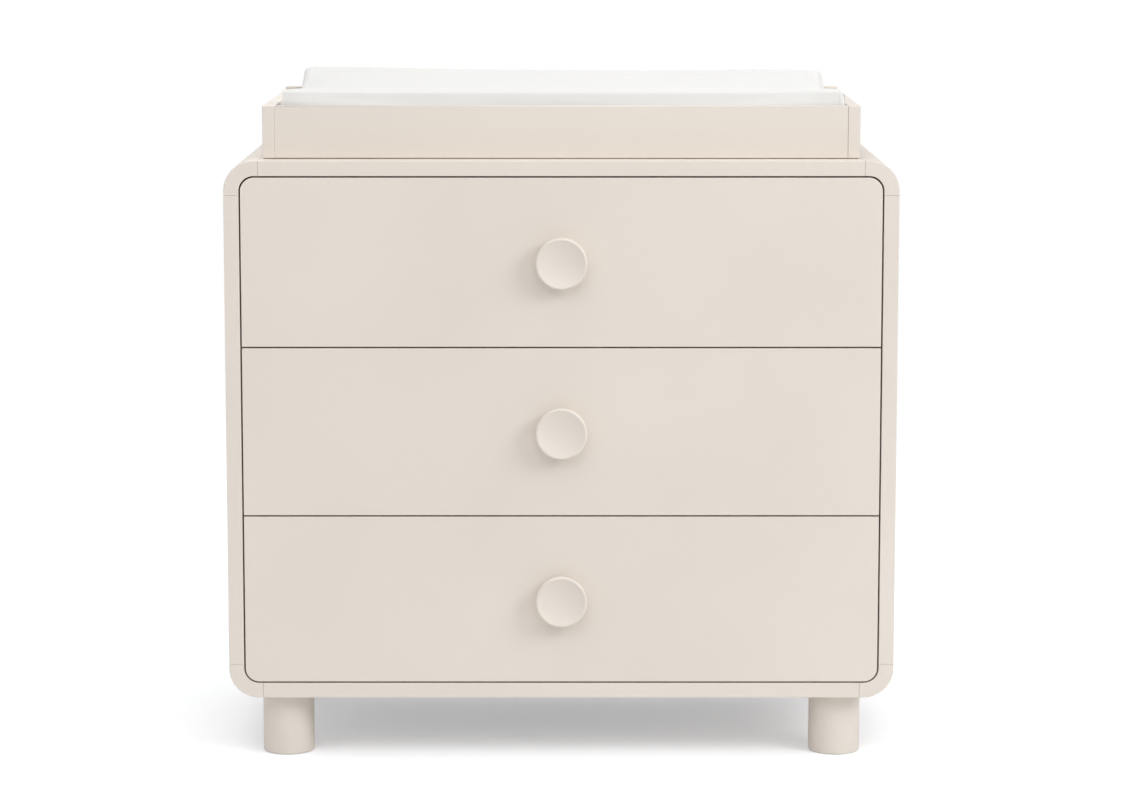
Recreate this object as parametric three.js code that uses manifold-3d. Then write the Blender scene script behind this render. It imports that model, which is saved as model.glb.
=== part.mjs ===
// Three-drawer changing table: a round-cornered dresser case on four round legs, three inset
// drawers on ball slides, a changing tray fixed to the top, and a contoured pad in the tray.
// Millimetres, +Z up. The front faces -Y. The origin is on the floor, under the centre of the
// whole object's box.
import * as THREE from "three";
import { mergeVertices } from "three/addons/utils/BufferGeometryUtils.js";
import Module from "manifold-3d";

const wasm = await Module();
wasm.setup();

// ---------------------------------------------------------------- driving dimensions
const CASE_W = 978; // outer width of the case
const CASE_D = 495; // front to back
const CASE_H = 792; // height of the case ring, without the legs
const LEG_H = 92; // floor to underside of the case
const BOARD = 22; // thickness of the case boards
const CORNER_R = 44; // outer radius of a corner block, concentric with its inner radius
const CORNER_REACH = 50; // how far a corner block runs from the outer corner to its joints
const JOINT = 0.3; // open joint between two glued or screwed pieces

const LEG_R = 38;
const LEG_FROM_SIDE = 82.5; // leg axis to the outer face of the side
const LEG_FROM_FRONT = 60; // leg axis to the front, and to the back
const LEG_ROUND = 2.5; // rounding of the foot's edge
const LEG_BOLT_R = 4;
const LEG_BOLT_LEN = 52; // 34 in the leg, 18 in the bottom panel
const LEG_BOLT_IN_LEG = 34;

const BACK_T = 5; // back board
const BACK_IN = 10; // from the rear edge of the case to the back board's rear face
const GROOVE = 6; // depth of the grooves that hold the back board

const RAIL_T = 18; // front rails between the drawers
const RAIL_D = 60;
const RAIL_Y = 20;

const REVEAL = 2.25; // gap all round each drawer front
const FRONT_T = 18; // drawer front
const FRONT_R = 20; // rounded corners of the top and bottom fronts
const BOX_W = 908; // outside width of a drawer box
const BOX_T = 12; // its sides and back
const BOX_SIDE_H = 170;
const BOX_BACK_H = 152;
const BOX_L = 410; // length of the box sides, behind the drawer front
const BOX_LIFT = 20; // box side's lower edge above the front's lower edge
const FLOOR_T = 5; // drawer bottom
const FLOOR_UP = 10; // drawer bottom above the side's lower edge
const FLOOR_GROOVE = 6;

const KNOB_R = 38;
const KNOB_OUT = 24; // projection from the drawer front
const KNOB_DISH = 6.5; // depth of the dish in its face
const SCREW_R = 2; // knob screw shank
const SCREW_HEAD_R = 4;

const SLIDE_L = 400;
const SLIDE_OUTER_H = 45;
const SLIDE_INNER_H = 26;
const SLIDE_T = 1.2;

const TRAY_W = 870;
const TRAY_Y = 42; // tray's front face behind the case's front
const TRAY_T = 18;
const TRAY_H = 76;
const TRAY_LIFT = 0.8; // shadow gap under the tray walls
const TRAY_BACK_MORE = 4; // the tray's back panel stands this much above its sides
const TRAY_BASE_T = 5;
const PLATE_W = 20; // steel plates that hold the tray to the case
const PLATE_T = 2;
const PLATE_LO = 16; // reach down over the case's rear edge
const PLATE_HI = 58; // reach up the tray's back panel
const PLATE_X = 300;

const PAD_W = 819;
const PAD_D = 406;
const PAD_X = 2; // lies a little to the right
const PAD_FRONT_H = 95; // crest of the near roll
const PAD_REAR_H = 106; // crest of the far roll
const PAD_VALLEY_H = 52;

// ---------------------------------------------------------------- derived
const X_OUT = CASE_W / 2; // 489
const X_IN = X_OUT - BOARD; // 467
const Z_BOT = LEG_H; // 92
const Z_TOP = LEG_H + CASE_H; // 884
const Z_IN_LO = Z_BOT + BOARD;
const Z_IN_HI = Z_TOP - BOARD;
const FRONT_W = 2 * (X_IN - REVEAL);
const FRONT_H = (Z_IN_HI - Z_IN_LO - 4 * REVEAL) / 3;
const Y_BACK = CASE_D;
const Y_CENTRE = (CASE_D + JOINT + PLATE_T - KNOB_OUT - JOINT) / 2;

// ---------------------------------------------------------------- materials
const paint = new THREE.MeshStandardMaterial({ color: 0xe0d7cb, roughness: 0.5, metalness: 0 });
const boxBoard = new THREE.MeshStandardMaterial({ color: 0xe9e3da, roughness: 0.6, metalness: 0 });
const hardboard = new THREE.MeshStandardMaterial({ color: 0xd8cfc2, roughness: 0.7, metalness: 0 });
const zinc = new THREE.MeshStandardMaterial({ color: 0xb9bcc0, roughness: 0.35, metalness: 0.9 });
const cloth = new THREE.MeshStandardMaterial({ color: 0xf4f3f0, roughness: 0.9, metalness: 0 });

// ---------------------------------------------------------------- geometry helpers
const root = new THREE.Group();

function add(name, geometry, material) {
  const mesh = new THREE.Mesh(geometry, material);
  mesh.name = name;
  mesh.position.y = -Y_CENTRE;
  root.add(mesh);
  return mesh;
}

function block(x0, x1, y0, y1, z0, z1) {
  return new THREE.BoxGeometry(x1 - x0, y1 - y0, z1 - z0).translate(
    (x0 + x1) / 2,
    (y0 + y1) / 2,
    (z0 + z1) / 2,
  );
}

// A shape drawn in X (right) and Z (up), extruded from y0 to y1.
function alongY(points, y0, y1) {
  const g = new THREE.ExtrudeGeometry(new THREE.Shape(points), {
    depth: y1 - y0,
    bevelEnabled: false,
    steps: 1,
  });
  return g.rotateX(Math.PI / 2).translate(0, y1, 0);
}

// A shape drawn in Y (right) and Z (up), extruded from x0 to x1.
function alongX(points, x0, x1) {
  const g = new THREE.ExtrudeGeometry(new THREE.Shape(points), {
    depth: x1 - x0,
    bevelEnabled: false,
    steps: 1,
  });
  const turn = new THREE.Matrix4().makeBasis(
    new THREE.Vector3(0, 1, 0),
    new THREE.Vector3(0, 0, 1),
    new THREE.Vector3(1, 0, 0),
  );
  return g.applyMatrix4(turn).translate(x0, 0, 0);
}

const v2 = (x, y) => new THREE.Vector2(x, y);

function arc(cx, cy, r, from, to, steps) {
  const out = [];
  for (let i = 0; i <= steps; i++) {
    const a = THREE.MathUtils.degToRad(from + ((to - from) * i) / steps);
    out.push(v2(cx + r * Math.cos(a), cy + r * Math.sin(a)));
  }
  return out;
}

// A rectangle in two dimensions whose corner radii are listed from low-left, anticlockwise.
function roundedRect(x0, x1, y0, y1, [bl, br, tr, tl], steps = 14) {
  const corner = (cx, cy, r, from) =>
    r > 0 ? arc(cx, cy, r, from, from + 90, steps) : [v2(cx, cy)];
  return [
    ...corner(x0 + bl, y0 + bl, bl, 180),
    ...corner(x1 - br, y0 + br, br, 270),
    ...corner(x1 - tr, y1 - tr, tr, 0),
    ...corner(x0 + tl, y1 - tl, tl, 90),
  ];
}

// A profile of [radius, height] pairs turned about its axis, with its faces outwards.
function turned(profile, segments) {
  const pts = profile.map(([r, h]) => v2(r, h));
  if (THREE.ShapeUtils.area(pts) < 0) pts.reverse();
  return new THREE.LatheGeometry(pts, segments);
}

// Turned about a line parallel to Z through (x, y); the profile is [radius, z] pairs.
function turnedZ(profile, x, y, segments = 36) {
  return turned(profile, segments)
    .rotateX(Math.PI / 2)
    .translate(x, y, 0);
}

// Turned about a line parallel to Y through (x, z); the profile is [radius, y] pairs.
function turnedY(profile, x, z, segments = 36) {
  return turned(profile, segments).translate(x, 0, z);
}

function solid(geometry) {
  const bare = geometry.clone();
  bare.deleteAttribute("normal");
  bare.deleteAttribute("uv");
  const merged = mergeVertices(bare, 1e-4);
  const position = merged.getAttribute("position").array;
  const index = Array.from(merged.index.array);
  const triVerts = [];
  for (let i = 0; i < index.length; i += 3) {
    const [a, b, c] = index.slice(i, i + 3);
    if (a !== b && b !== c && c !== a) triVerts.push(a, b, c);
  }
  const make = (tris) =>
    new wasm.Manifold(
      new wasm.Mesh({
        numProp: 3,
        vertProperties: new Float32Array(position),
        triVerts: new Uint32Array(tris),
      }),
    );
  const made = make(triVerts);
  if (made.volume() > 0) return made;
  for (let i = 0; i < triVerts.length; i += 3)
    [triVerts[i + 1], triVerts[i + 2]] = [triVerts[i + 2], triVerts[i + 1]];
  return make(triVerts);
}

function geometryOf(made) {
  const mesh = made.getMesh();
  const position = new Float32Array(mesh.numVert * 3);
  for (let i = 0; i < mesh.numVert; i++)
    position.set(
      mesh.vertProperties.subarray(i * mesh.numProp, i * mesh.numProp + 3),
      i * 3,
    );
  const g = new THREE.BufferGeometry();
  g.setAttribute("position", new THREE.BufferAttribute(position, 3));
  g.setIndex(new THREE.BufferAttribute(new Uint32Array(mesh.triVerts), 1));
  g.computeVertexNormals();
  return g;
}

// The geometry with each tool's volume taken out of it.
function cut(geometry, ...tools) {
  let made = solid(geometry);
  for (const tool of tools) made = made.subtract(solid(tool));
  return geometryOf(made);
}

// ---------------------------------------------------------------- case
// The groove that takes the back board all round the inside of the case.
const grooveTool = alongY(
  roundedRect(-X_IN - GROOVE, X_IN + GROOVE, Z_IN_LO - GROOVE, Z_IN_HI + GROOVE, [28, 28, 28, 28]),
  Y_BACK - BACK_IN - BACK_T - JOINT,
  Y_BACK - BACK_IN + JOINT,
);

const reach = CORNER_REACH + JOINT;
const boltHole = (x, y) =>
  turnedZ(
    [
      [0, Z_BOT - 1],
      [LEG_BOLT_R + JOINT, Z_BOT - 1],
      [LEG_BOLT_R + JOINT, Z_BOT + LEG_BOLT_LEN - LEG_BOLT_IN_LEG + 0.5],
      [0, Z_BOT + LEG_BOLT_LEN - LEG_BOLT_IN_LEG + 0.5],
    ],
    x,
    y,
    20,
  );
const legs = {
  front_left: [-X_OUT + LEG_FROM_SIDE, LEG_FROM_FRONT],
  front_right: [X_OUT - LEG_FROM_SIDE, LEG_FROM_FRONT],
  back_left: [-X_OUT + LEG_FROM_SIDE, CASE_D - LEG_FROM_FRONT],
  back_right: [X_OUT - LEG_FROM_SIDE, CASE_D - LEG_FROM_FRONT],
};

add(
  "top_panel",
  cut(block(-X_OUT + reach, X_OUT - reach, 0, CASE_D, Z_IN_HI, Z_TOP), grooveTool),
  paint,
);
add(
  "bottom_panel",
  cut(
    block(-X_OUT + reach, X_OUT - reach, 0, CASE_D, Z_BOT, Z_IN_LO),
    grooveTool,
    ...Object.values(legs).map(([x, y]) => boltHole(x, y)),
  ),
  paint,
);
add(
  "left_side_panel",
  cut(block(-X_OUT, -X_IN, 0, CASE_D, Z_BOT + reach, Z_TOP - reach), grooveTool),
  paint,
);
add(
  "right_side_panel",
  cut(block(X_IN, X_OUT, 0, CASE_D, Z_BOT + reach, Z_TOP - reach), grooveTool),
  paint,
);

// A corner block: a quarter ring with a short straight run to each joint.
function cornerBlock(x, z, sx, sz) {
  const ri = CORNER_R - BOARD;
  const outline = [
    v2(CORNER_REACH, 0),
    ...arc(CORNER_R, CORNER_R, CORNER_R, 270, 180, 20),
    v2(0, CORNER_REACH),
    v2(BOARD, CORNER_REACH),
    ...arc(CORNER_R, CORNER_R, ri, 180, 270, 14),
    v2(CORNER_REACH, BOARD),
  ].map((p) => v2(x + sx * p.x, z + sz * p.y));
  return cut(alongY(outline, 0, CASE_D), grooveTool);
}
add("top_left_corner", cornerBlock(-X_OUT, Z_TOP, 1, -1), paint);
add("top_right_corner", cornerBlock(X_OUT, Z_TOP, -1, -1), paint);
add("bottom_left_corner", cornerBlock(-X_OUT, Z_BOT, 1, 1), paint);
add("bottom_right_corner", cornerBlock(X_OUT, Z_BOT, -1, 1), paint);

add(
  "back_panel",
  alongY(
    roundedRect(
      -X_IN - GROOVE + JOINT,
      X_IN + GROOVE - JOINT,
      Z_IN_LO - GROOVE + JOINT,
      Z_IN_HI + GROOVE - JOINT,
      [27.7, 27.7, 27.7, 27.7],
      10,
    ),
    Y_BACK - BACK_IN - BACK_T,
    Y_BACK - BACK_IN,
  ),
  hardboard,
);

for (const [name, row] of [
  ["lower_front_rail", 1],
  ["upper_front_rail", 2],
]) {
  const z = Z_IN_LO + REVEAL / 2 + row * (FRONT_H + REVEAL);
  add(
    name,
    block(-X_IN + JOINT, X_IN - JOINT, RAIL_Y, RAIL_Y + RAIL_D, z - RAIL_T / 2, z + RAIL_T / 2),
    paint,
  );
}

// ---------------------------------------------------------------- legs and their bolts
for (const [name, [x, y]] of Object.entries(legs)) {
  const top = Z_BOT - JOINT;
  add(
    `${name}_leg`,
    cut(
      turnedZ(
        [
          [0, 0],
          [LEG_R - LEG_ROUND, 0],
          [LEG_R - LEG_ROUND * 0.293, LEG_ROUND * 0.293],
          [LEG_R, LEG_ROUND],
          [LEG_R, top],
          [0, top],
        ],
        x,
        y,
        40,
      ),
      turnedZ(
        [
          [0, Z_BOT - LEG_BOLT_IN_LEG - 2],
          [LEG_BOLT_R + JOINT, Z_BOT - LEG_BOLT_IN_LEG - 2],
          [LEG_BOLT_R + JOINT, Z_BOT + 5],
          [0, Z_BOT + 5],
        ],
        x,
        y,
        20,
      ),
    ),
    paint,
  );
  const lo = Z_BOT - LEG_BOLT_IN_LEG;
  add(
    `${name}_leg_bolt`,
    turnedZ(
      [
        [0, lo],
        [2.2, lo],
        [LEG_BOLT_R, lo + 4],
        [LEG_BOLT_R, lo + LEG_BOLT_LEN - 1.2],
        [LEG_BOLT_R - 1, lo + LEG_BOLT_LEN],
        [0, lo + LEG_BOLT_LEN],
      ],
      x,
      y,
      20,
    ),
    zinc,
  );
}

// ---------------------------------------------------------------- drawer slides
// A lipped channel, drawn in X and Z for the right-hand side and mirrored for the left.
function outerSlide(side, zc) {
  const xw = X_IN - JOINT; // outer face of the web
  const xl = xw - 10.4; // inner face of the lips
  const h = SLIDE_OUTER_H / 2;
  const t = SLIDE_T;
  const lip = 5;
  const points = [
    [xw, -h],
    [xw, h],
    [xl, h],
    [xl, h - lip],
    [xl + t, h - lip],
    [xl + t, h - t],
    [xw - t, h - t],
    [xw - t, -h + t],
    [xl + t, -h + t],
    [xl + t, -h + lip],
    [xl, -h + lip],
    [xl, -h],
  ].map(([x, z]) => v2(side * x, zc + z));
  return alongY(points, 22, 22 + SLIDE_L);
}
function innerSlide(side, zc) {
  const xw = BOX_W / 2 + JOINT; // inner face of the web, on the drawer side
  const xf = xw + 9.2;
  const h = SLIDE_INNER_H / 2;
  const t = SLIDE_T;
  const points = [
    [xw, -h],
    [xf, -h],
    [xf, -h + t],
    [xw + t, -h + t],
    [xw + t, h - t],
    [xf, h - t],
    [xf, h],
    [xw, h],
  ].map(([x, z]) => v2(side * x, zc + z));
  return alongY(points, 22, 22 + SLIDE_L);
}

// ---------------------------------------------------------------- drawers
["lower", "middle", "upper"].forEach((row, i) => {
  const z0 = Z_IN_LO + REVEAL + i * (FRONT_H + REVEAL); // lower edge of the front
  const zc = z0 + FRONT_H / 2;
  const boxLo = z0 + BOX_LIFT;
  const floorLo = boxLo + FLOOR_UP;
  const yBox = FRONT_T + JOINT;
  const yEnd = yBox + BOX_L;
  const xBox = BOX_W / 2;
  const slideZ = boxLo + BOX_SIDE_H / 2;
  const radii =
    row === "lower"
      ? [FRONT_R, FRONT_R, 0, 0]
      : row === "upper"
        ? [0, 0, FRONT_R, FRONT_R]
        : [0, 0, 0, 0];

  const screwHole = turnedY(
    [
      [0, -1],
      [SCREW_R + 0.5, -1],
      [SCREW_R + 0.5, FRONT_T + 1],
      [0, FRONT_T + 1],
    ],
    0,
    zc,
    16,
  );
  add(
    `${row}_drawer_front`,
    cut(
      alongY(
        roundedRect(-FRONT_W / 2, FRONT_W / 2, z0, z0 + FRONT_H, radii),
        0,
        FRONT_T,
      ),
      block(
        -xBox + BOX_T,
        xBox - BOX_T,
        FRONT_T - FLOOR_GROOVE,
        FRONT_T + 1,
        floorLo - JOINT,
        floorLo + FLOOR_T + JOINT,
      ),
      screwHole,
    ),
    paint,
  );

  for (const [hand, s] of [
    ["left", -1],
    ["right", 1],
  ]) {
    const outer = s * xBox;
    const inner = s * (xBox - BOX_T);
    const groove = s * (xBox - BOX_T + FLOOR_GROOVE);
    const section = [
      [outer, boxLo],
      [outer, boxLo + BOX_SIDE_H],
      [inner, boxLo + BOX_SIDE_H],
      [inner, floorLo + FLOOR_T + JOINT],
      [groove, floorLo + FLOOR_T + JOINT],
      [groove, floorLo - JOINT],
      [inner, floorLo - JOINT],
      [inner, boxLo],
    ].map(([x, z]) => v2(x, z));
    add(`${row}_drawer_${hand}_side`, alongY(section, yBox, yEnd), boxBoard);
    add(`${row}_${hand}_case_slide`, outerSlide(s, slideZ), zinc);
    add(`${row}_${hand}_drawer_slide`, innerSlide(s, slideZ), zinc);
  }

  const backLo = floorLo + FLOOR_T + JOINT;
  add(
    `${row}_drawer_back`,
    block(
      -xBox + BOX_T + JOINT,
      xBox - BOX_T - JOINT,
      yEnd - BOX_T,
      yEnd,
      backLo,
      backLo + BOX_BACK_H,
    ),
    boxBoard,
  );
  add(
    `${row}_drawer_bottom`,
    block(
      -xBox + BOX_T - FLOOR_GROOVE + JOINT,
      xBox - BOX_T + FLOOR_GROOVE - JOINT,
      FRONT_T + JOINT,
      yEnd,
      floorLo,
      floorLo + FLOOR_T,
    ),
    hardboard,
  );

  // The knob: a thick disc with a rounded rim and a dished face, drilled from behind.
  const yb = -JOINT;
  const yf = -JOINT - KNOB_OUT;
  const dishR = KNOB_R - 4.2;
  const dish = [];
  const sphere = (dishR * dishR + KNOB_DISH * KNOB_DISH) / (2 * KNOB_DISH);
  for (let k = 6; k >= 0; k--) {
    const r = (dishR * k) / 6;
    const depth = Math.sqrt(sphere * sphere - r * r) - (sphere - KNOB_DISH);
    dish.push([r, yf + 0.6 + depth]);
  }
  add(
    `${row}_knob`,
    cut(
      turnedY(
        [
          [0, yb],
          [KNOB_R - 3.2, yb],
          [KNOB_R - 2.2, yb - 1],
          [KNOB_R, yf + 7],
          [KNOB_R - 0.5, yf + 2.8],
          [KNOB_R - 1.6, yf + 0.9],
          [KNOB_R - 2.9, yf],
          ...dish,
        ],
        0,
        zc,
        36,
      ),
      turnedY(
        [
          [0, yb + 2],
          [SCREW_R + JOINT, yb + 2],
          [SCREW_R + JOINT, yb - 14],
          [0, yb - 14],
        ],
        0,
        zc,
        16,
      ),
    ),
    paint,
  );
  add(
    `${row}_knob_screw`,
    turnedY(
      [
        [0, FRONT_T + JOINT + 2.4],
        [SCREW_HEAD_R - 1.2, FRONT_T + JOINT + 2.4],
        [SCREW_HEAD_R, FRONT_T + JOINT + 1],
        [SCREW_HEAD_R, FRONT_T + JOINT],
        [SCREW_R, FRONT_T + JOINT],
        [SCREW_R, yb - 12],
        [0, yb - 12],
      ],
      0,
      zc,
      16,
    ),
    zinc,
  );
});

// ---------------------------------------------------------------- changing tray
{
  const x = TRAY_W / 2;
  const xi = x - TRAY_T;
  const y0 = TRAY_Y;
  const y1 = CASE_D;
  const zb = Z_TOP + TRAY_LIFT;
  const zt = zb + TRAY_H;
  add(
    "tray_left_panel",
    block(-x, -xi, y0, y1 - TRAY_T - JOINT, zb, zt),
    paint,
  );
  add("tray_right_panel", block(xi, x, y0, y1 - TRAY_T - JOINT, zb, zt), paint);
  add(
    "tray_front_panel",
    block(-xi + JOINT, xi - JOINT, y0, y0 + TRAY_T, zb, zt),
    paint,
  );
  add(
    "tray_back_panel",
    block(-x, x, y1 - TRAY_T, y1, zb, zt + TRAY_BACK_MORE),
    paint,
  );
  add(
    "tray_base",
    block(
      -xi + JOINT,
      xi - JOINT,
      y0 + TRAY_T + JOINT,
      y1 - TRAY_T - JOINT,
      Z_TOP + JOINT,
      Z_TOP + JOINT + TRAY_BASE_T,
    ),
    hardboard,
  );
  for (const [hand, s] of [
    ["left", -1],
    ["right", 1],
  ]) {
    const xc = s * PLATE_X;
    const hole = (z) =>
      turnedY(
        [
          [0, Y_BACK - 1],
          [2.2, Y_BACK - 1],
          [2.2, Y_BACK + 5],
          [0, Y_BACK + 5],
        ],
        xc,
        z,
        16,
      );
    add(
      `tray_${hand}_plate`,
      cut(
        alongY(
          roundedRect(
            xc - PLATE_W / 2,
            xc + PLATE_W / 2,
            Z_TOP - PLATE_LO,
            Z_TOP + PLATE_HI,
            [4, 4, 4, 4],
            5,
          ),
          Y_BACK + JOINT,
          Y_BACK + JOINT + PLATE_T,
        ),
        hole(Z_TOP - 8),
        hole(Z_TOP + 22),
        hole(Z_TOP + 46),
      ),
      zinc,
    );
  }
}

// ---------------------------------------------------------------- contoured pad
{
  const z = Z_TOP + JOINT + TRAY_BASE_T + JOINT;
  const mid = (TRAY_Y + TRAY_T + CASE_D - TRAY_T) / 2;
  const y0 = mid - PAD_D / 2;
  const y1 = mid + PAD_D / 2;
  const top = new THREE.SplineCurve([
    v2(y1, z + PAD_REAR_H - 26),
    v2(y1 - 8, z + PAD_REAR_H - 8),
    v2(y1 - 30, z + PAD_REAR_H),
    v2(y1 - 58, z + PAD_REAR_H - 7),
    v2(y1 - 96, z + PAD_VALLEY_H + 20),
    v2(y1 - 140, z + PAD_VALLEY_H + 2),
    v2(mid, z + PAD_VALLEY_H),
    v2(y0 + 140, z + PAD_VALLEY_H + 2),
    v2(y0 + 96, z + PAD_VALLEY_H + 17),
    v2(y0 + 58, z + PAD_FRONT_H - 7),
    v2(y0 + 30, z + PAD_FRONT_H),
    v2(y0 + 8, z + PAD_FRONT_H - 8),
    v2(y0, z + PAD_FRONT_H - 26),
  ]).getPoints(36);
  add(
    "changing_pad",
    alongX(
      [v2(y0, z + 8), v2(y0 + 8, z), v2(y1 - 8, z), v2(y1, z + 8), ...top],
      PAD_X - PAD_W / 2,
      PAD_X + PAD_W / 2,
    ),
    cloth,
  );
}

export default root;
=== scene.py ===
# Changing table: the visible model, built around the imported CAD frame. Metres, +Z up.
import math
import random

import bmesh
import bpy
from mathutils.kdtree import KDTree
from mathutils import Matrix, Vector, noise
from mathutils.bvhtree import BVHTree


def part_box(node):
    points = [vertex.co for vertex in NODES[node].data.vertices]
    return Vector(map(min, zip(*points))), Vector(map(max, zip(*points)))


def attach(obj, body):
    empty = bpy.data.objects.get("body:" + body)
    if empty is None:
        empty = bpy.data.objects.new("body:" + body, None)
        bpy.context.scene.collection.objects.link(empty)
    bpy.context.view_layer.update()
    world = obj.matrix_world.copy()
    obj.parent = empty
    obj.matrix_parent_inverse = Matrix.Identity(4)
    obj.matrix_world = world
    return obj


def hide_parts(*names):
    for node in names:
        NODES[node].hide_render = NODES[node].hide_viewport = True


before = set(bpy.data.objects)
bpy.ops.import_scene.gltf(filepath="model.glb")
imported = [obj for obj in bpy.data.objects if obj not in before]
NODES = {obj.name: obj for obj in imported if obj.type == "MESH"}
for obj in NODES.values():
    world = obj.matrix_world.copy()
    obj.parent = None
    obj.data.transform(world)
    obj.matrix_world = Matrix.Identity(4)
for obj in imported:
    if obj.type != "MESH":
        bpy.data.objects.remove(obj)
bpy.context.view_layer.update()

random.seed(7)
MM = 0.001
scene = bpy.context.scene


# ------------------------------------------------------------------ node helpers
class Nodes:
    """A material's node tree with short calls."""

    def __init__(self, name):
        self.mat = bpy.data.materials.new(name)
        self.mat.use_nodes = True
        self.tree = self.mat.node_tree
        self.tree.nodes.clear()
        self.out = self.add("ShaderNodeOutputMaterial")
        self.coords = self.add("ShaderNodeTexCoord").outputs["Object"]

    def add(self, kind, **values):
        node = self.tree.nodes.new(kind)
        for key, value in values.items():
            setattr(node, key, value)
        return node

    def link(self, a, b):
        self.tree.links.new(a, b)

    def put(self, socket, value):
        if isinstance(value, bpy.types.NodeSocket):
            self.link(value, socket)
        else:
            socket.default_value = value

    def mapped(self, scale, rotation=(0, 0, 0)):
        node = self.add("ShaderNodeMapping")
        self.link(self.coords, node.inputs["Vector"])
        node.inputs["Scale"].default_value = scale
        node.inputs["Rotation"].default_value = rotation
        return node.outputs["Vector"]

    def noise(self, scale, detail=3.0, rough=0.55, vector=None, distortion=0.0):
        node = self.add("ShaderNodeTexNoise")
        self.link(vector or self.coords, node.inputs["Vector"])
        node.inputs["Scale"].default_value = scale
        node.inputs["Detail"].default_value = detail
        node.inputs["Roughness"].default_value = rough
        node.inputs["Distortion"].default_value = distortion
        return node.outputs["Fac"]

    def wave(self, scale, direction, distortion=0.0, vector=None):
        node = self.add("ShaderNodeTexWave", wave_type="BANDS", bands_direction=direction)
        self.link(vector or self.coords, node.inputs["Vector"])
        node.inputs["Scale"].default_value = scale
        node.inputs["Distortion"].default_value = distortion
        node.inputs["Detail"].default_value = 1.0
        node.inputs["Detail Scale"].default_value = 1.5
        return node.outputs["Fac"]

    def math(self, op, a, b=0.5, c=None, clamp=False):
        node = self.add("ShaderNodeMath", operation=op, use_clamp=clamp)
        self.put(node.inputs[0], a)
        self.put(node.inputs[1], b)
        if c is not None:
            self.put(node.inputs[2], c)
        return node.outputs[0]

    def span(self, value, lo, hi, from_lo=0.0, from_hi=1.0):
        node = self.add("ShaderNodeMapRange")
        self.link(value, node.inputs["Value"])
        node.inputs["From Min"].default_value = from_lo
        node.inputs["From Max"].default_value = from_hi
        node.inputs["To Min"].default_value = lo
        node.inputs["To Max"].default_value = hi
        return node.outputs["Result"]

    def mix(self, fac, a, b, blend="MIX"):
        node = self.add("ShaderNodeMix", data_type="RGBA", blend_type=blend)
        self.put(node.inputs[0], fac)
        for socket, value in ((node.inputs[6], a), (node.inputs[7], b)):
            self.put(socket, (*value, 1.0) if isinstance(value, tuple) and len(value) == 3 else value)
        return node.outputs[2]

    def bump(self, height, distance, strength=1.0, normal=None):
        node = self.add("ShaderNodeBump")
        self.link(height, node.inputs["Height"])
        node.inputs["Distance"].default_value = distance
        node.inputs["Strength"].default_value = strength
        if normal is not None:
            self.link(normal, node.inputs["Normal"])
        return node.outputs["Normal"]

    def principled(self, **values):
        shader = self.add("ShaderNodeBsdfPrincipled")
        for key, value in values.items():
            self.put(shader.inputs[key.replace("_", " ")], value)
        self.link(shader.outputs[0], self.out.inputs["Surface"])
        return shader


# ------------------------------------------------------------------ materials
def satin_paint(name, colour, rough=0.42, offset=0.0):
    """Sprayed satin paint: fine orange peel, faint sanding marks and a slight drift of tone."""
    n = Nodes(name)
    drift = n.noise(2.3, 2.0, vector=n.mapped((1, 1, 1), (offset, 0.3, 0.1)))
    fine = n.noise(420.0, 2.0)
    speck = n.noise(1600.0, 1.0)
    dark = tuple(c * 0.965 for c in colour)
    light = tuple(min(1.0, c * 1.02) for c in colour)
    base = n.mix(n.span(drift, 0.0, 1.0, 0.3, 0.7), dark, light)
    base = n.mix(n.span(fine, 0.0, 0.05, 0.45, 0.75), base, tuple(c * 0.9 for c in colour))
    peel = n.noise(260.0, 2.0, 0.5)
    sanding = n.noise(70.0, 4.0, 0.6, vector=n.mapped((1.0, 6.0, 9.0)))
    height = n.math("ADD", n.math("MULTIPLY", peel, 1.0), n.math("MULTIPLY", sanding, 0.35))
    height = n.math("ADD", height, n.math("MULTIPLY", speck, 0.12))
    n.principled(
        Base_Color=base,
        Roughness=n.span(n.noise(9.0, 4.0), rough - 0.05, rough + 0.06, 0.3, 0.7),
        Specular_IOR_Level=0.5,
        Coat_Weight=0.12,
        Coat_Roughness=0.3,
        Normal=n.bump(height, 0.00009, 0.55),
    )
    return n.mat


def laminate(name, colour):
    """Drawer box board: a faint fibre grain under a matt film."""
    n = Nodes(name)
    grain = n.noise(120.0, 5.0, 0.6, vector=n.mapped((6.0, 0.5, 6.0)), distortion=0.4)
    cloud = n.noise(5.0, 3.0)
    base = n.mix(n.span(grain, 0.0, 0.55, 0.35, 0.7), colour, tuple(c * 0.9 for c in colour))
    base = n.mix(n.span(cloud, 0.0, 0.3, 0.35, 0.7), base, tuple(c * 0.94 for c in colour))
    n.principled(
        Base_Color=base,
        Roughness=n.span(grain, 0.5, 0.66, 0.3, 0.7),
        Normal=n.bump(grain, 0.0001, 0.5),
    )
    return n.mat


def fibreboard(name, colour):
    """Thin hardboard: pressed fibres, rolled paint."""
    n = Nodes(name)
    fibre = n.noise(700.0, 4.0, 0.7, vector=n.mapped((1.0, 1.6, 0.8)), distortion=0.8)
    mottle = n.noise(38.0, 3.0)
    base = n.mix(n.span(fibre, 0.0, 0.5, 0.4, 0.7), colour, tuple(c * 0.86 for c in colour))
    base = n.mix(n.span(mottle, 0.0, 0.4, 0.4, 0.65), base, tuple(min(1.0, c * 1.05) for c in colour))
    n.principled(
        Base_Color=base,
        Roughness=n.span(mottle, 0.6, 0.78, 0.3, 0.7),
        Normal=n.bump(n.math("ADD", fibre, mottle), 0.00012, 0.6),
    )
    return n.mat


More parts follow.
